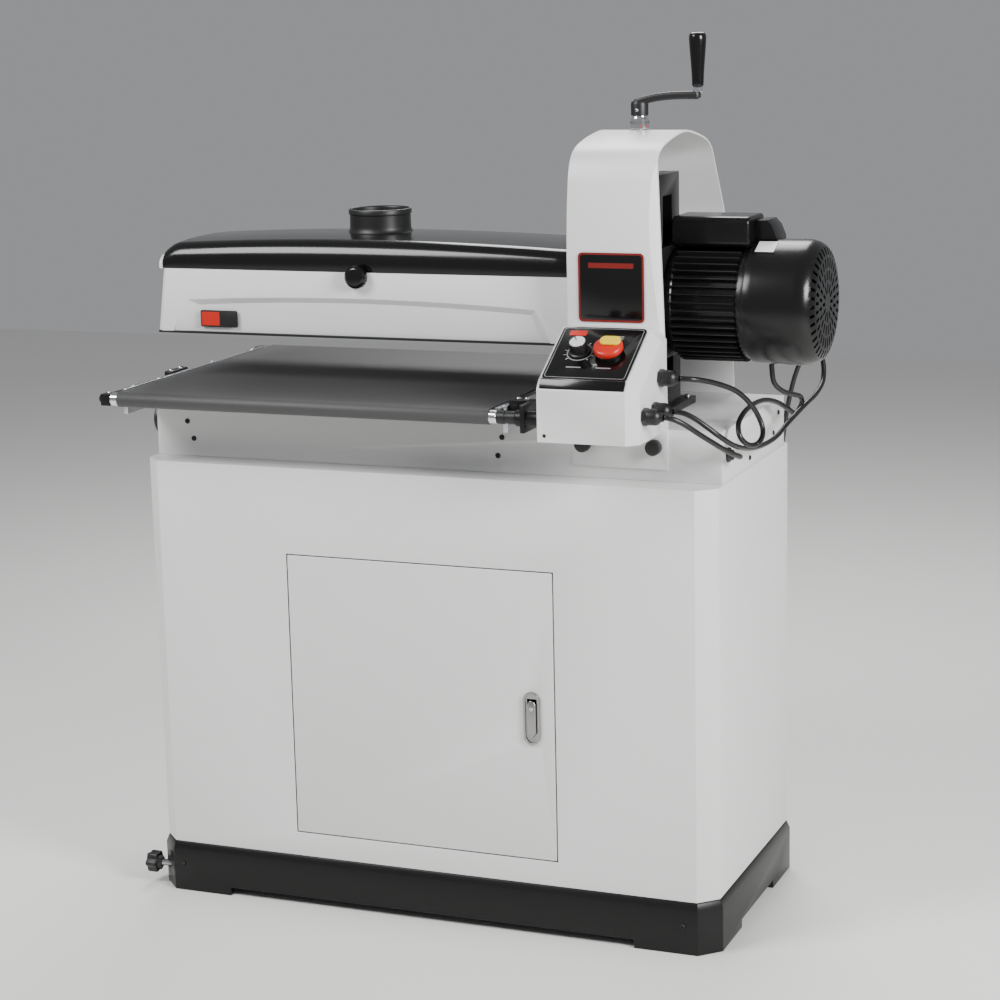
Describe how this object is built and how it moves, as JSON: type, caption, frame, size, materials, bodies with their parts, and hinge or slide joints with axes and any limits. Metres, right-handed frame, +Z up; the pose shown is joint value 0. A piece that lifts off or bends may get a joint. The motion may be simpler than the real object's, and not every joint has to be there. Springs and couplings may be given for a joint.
{
  "type": "drum sander",
  "caption": "Open-ended drum sander on a closed cabinet stand: conveyor belt, height crank, drum head under a hinged dust cover, side motor and control box.",
  "frame": {"origin": "on the floor under the middle of the machine, cords left out", "axes": "+X to the motor's side, +Y to the back (boards feed in from -Y), +Z up"},
  "size_m": [1.154, 0.762, 1.441],
  "materials": {
    "white_paint": "semi-gloss powder coat",
    "black_paint": "gloss paint",
    "black_plastic": "matte",
    "bright_steel": "machined",
    "chrome_trim": "polished",
    "abrasive": "cloth-backed grit",
    "rubber": "matte",
    "red_plastic": "gloss",
    "yellow_plastic": "gloss"
  },
  "bodies": {
    "stand": {"plinth": "black_paint", "cabinet_body": "white_paint", "door_hinge": "bright_steel", "machine_base": "white_paint", "conveyor_bed": "bright_steel", "bed_rail_left": "bright_steel", "bed_rail_right": "bright_steel", "conveyor_belt": "abrasive", "take_up_front_left": "black_paint", "take_up_rear_left": "black_paint", "take_up_rear_right": "black_paint", "gear_motor": "black_paint", "column": "black_paint", "tower_cover": "white_paint", "name_plate": "black_plastic", "control_box": "white_paint", "control_panel": "black_plastic", "gland_upper": "black_plastic", "gland_lower_front": "black_plastic", "gland_lower_rear": "black_plastic", "motor_lead": "rubber", "feed_lead": "rubber", "mains_cord": "rubber", "mains_coil": "rubber", "mains_plug": "rubber"},
    "door": {"door_panel": "white_paint", "latch_plate": "chrome_trim"},
    "latch": {"latch_lever": "chrome_trim"},
    "levelling_lock": {"lock_knob": "black_plastic"},
    "parallelism": {"parallelism_dial": "black_plastic"},
    "drive": {"drive_roller": "bright_steel", "drive_coupling": "black_plastic"},
    "idler": {"idler_roller": "bright_steel"},
    "crank": {"crank_arm": "black_paint", "lead_screw": "bright_steel", "height_dial": "chrome_trim"},
    "grip": {"crank_grip": "black_plastic"},
    "head": {"head_carriage": "black_paint", "drum_housing": "white_paint", "bearing_inboard": "black_paint", "bearing_outboard": "bright_steel", "motor_body": "black_paint", "fan_cover": "black_paint", "capacitor_cover": "black_paint", "junction_box": "black_plastic"},
    "lid": {"dust_cover": "black_paint", "dust_port": "black_paint"},
    "lid_latch": {"cover_knob": "black_plastic"},
    "spindle": {"drum": "abrasive", "drum_shaft": "bright_steel", "fan": "black_plastic"},
    "front_pressure": {"pressure_bracket_front": "bright_steel"},
    "front_pressure_roller": {"pressure_roller_front": "rubber"},
    "rear_pressure": {"pressure_bracket_rear": "bright_steel"},
    "rear_pressure_roller": {"pressure_roller_rear": "rubber"},
    "speed_knob": {"speed_dial": "black_plastic"},
    "stop_switch": {"stop_paddle": "red_plastic", "safety_key": "yellow_plastic"},
    "left_box_knob": {"box_knob_left": "black_plastic"},
    "right_box_knob": {"box_knob_right": "black_plastic"}
  },
  "joints": [
    {"name": "door_swing", "type": "hinge", "parent": "stand", "child": "door", "pos_m": [-0.2745, -0.2015, 0.37], "axis": [0, 0, -1], "range_deg": [0, 115]},
    {"name": "latch_pull", "type": "hinge", "parent": "door", "child": "latch", "pos_m": [0.155, -0.203, 0.394], "axis": [-1, 0, 0], "range_deg": [0, 25], "stiffness_Nm_per_rad": 0.2, "springref_deg": -8.59},
    {"name": "lock_turn", "type": "hinge", "parent": "stand", "child": "levelling_lock", "pos_m": [-0.563, -0.184, 0.037], "axis": [-1, 0, 0], "continuous": true},
    {"name": "parallelism_turn", "type": "hinge", "parent": "stand", "child": "parallelism", "pos_m": [-0.551, -0.091, 0.808], "axis": [-1, 0, 0], "continuous": true},
    {"name": "feed_roller_spin", "type": "hinge", "parent": "stand", "child": "drive", "pos_m": [-0.211, -0.26, 0.8675], "axis": [1, 0, 0], "continuous": true},
    {"name": "idler_roller_spin", "type": "hinge", "parent": "stand", "child": "idler", "pos_m": [-0.211, 0.29, 0.8675], "axis": [1, 0, 0], "continuous": true},
    {"name": "crank_turn", "type": "hinge", "parent": "stand", "child": "crank", "pos_m": [0.27, 0.028, 1.3], "axis": [0, 0, 1], "range_deg": [-17120, 5870]},
    {"name": "grip_spin", "type": "hinge", "parent": "crank", "child": "grip", "pos_m": [0.367, 0.028, 1.4], "axis": [0, 0, 1], "continuous": true},
    {"name": "head_slide", "type": "slide", "parent": "stand", "child": "head", "axis": [0, 0, 1], "range_m": [-0.076, 0.026], "deforming": ["motor_lead"]},
    {"name": "lid_open", "type": "hinge", "parent": "head", "child": "lid", "pos_m": [-0.171, 0.1655, 1.067], "axis": [-1, 0, 0], "range_deg": [0, 80]},
    {"name": "lid_latch_turn", "type": "hinge", "parent": "head", "child": "lid_latch", "pos_m": [-0.17, -0.112, 1.061], "axis": [0, -1, 0], "range_deg": [0, 90]},
    {"name": "drum_spin", "type": "hinge", "parent": "head", "child": "spindle", "pos_m": [-0.041, 0.028, 1.02], "axis": [1, 0, 0], "continuous": true},
    {"name": "front_pressure_lift", "type": "slide", "parent": "head", "child": "front_pressure", "axis": [0, 0, 1], "range_m": [0, 0.004], "stiffness_N_per_m": 6000, "springref_m": -0.004},
    {"name": "front_pressure_spin", "type": "hinge", "parent": "front_pressure", "child": "front_pressure_roller", "pos_m": [-0.207, -0.056, 0.968], "axis": [1, 0, 0], "continuous": true},
    {"name": "rear_pressure_lift", "type": "slide", "parent": "head", "child": "rear_pressure", "axis": [0, 0, 1], "range_m": [0, 0.004], "stiffness_N_per_m": 6000, "springref_m": -0.004},
    {"name": "rear_pressure_spin", "type": "hinge", "parent": "rear_pressure", "child": "rear_pressure_roller", "pos_m": [-0.207, 0.112, 0.968], "axis": [1, 0, 0], "continuous": true},
    {"name": "speed_turn", "type": "hinge", "parent": "stand", "child": "speed_knob", "pos_m": [0.258, -0.23311, 0.96883], "axis": [0, -0.5111, 0.8595], "range_deg": [0, 270]},
    {"name": "stop_press", "type": "slide", "parent": "stand", "child": "stop_switch", "axis": [0, 0.5111, -0.8595], "range_m": [0, 0.0025], "stiffness_N_per_m": 800, "springref_m": -0.002},
    {"name": "left_box_knob_turn", "type": "hinge", "parent": "stand", "child": "left_box_knob", "pos_m": [0.233, -0.157, 0.8115], "axis": [0, -1, 0], "continuous": true},
    {"name": "right_box_knob_turn", "type": "hinge", "parent": "stand", "child": "right_box_knob", "pos_m": [0.35, -0.157, 0.8115], "axis": [0, -1, 0], "continuous": true}
  ],
  "couplings": [
    {"joint": "crank_turn", "follows": "head_slide", "rad_per_m": 3927},
    {"joint": "idler_roller_spin", "follows": "feed_roller_spin", "ratio": 1}
  ]
}
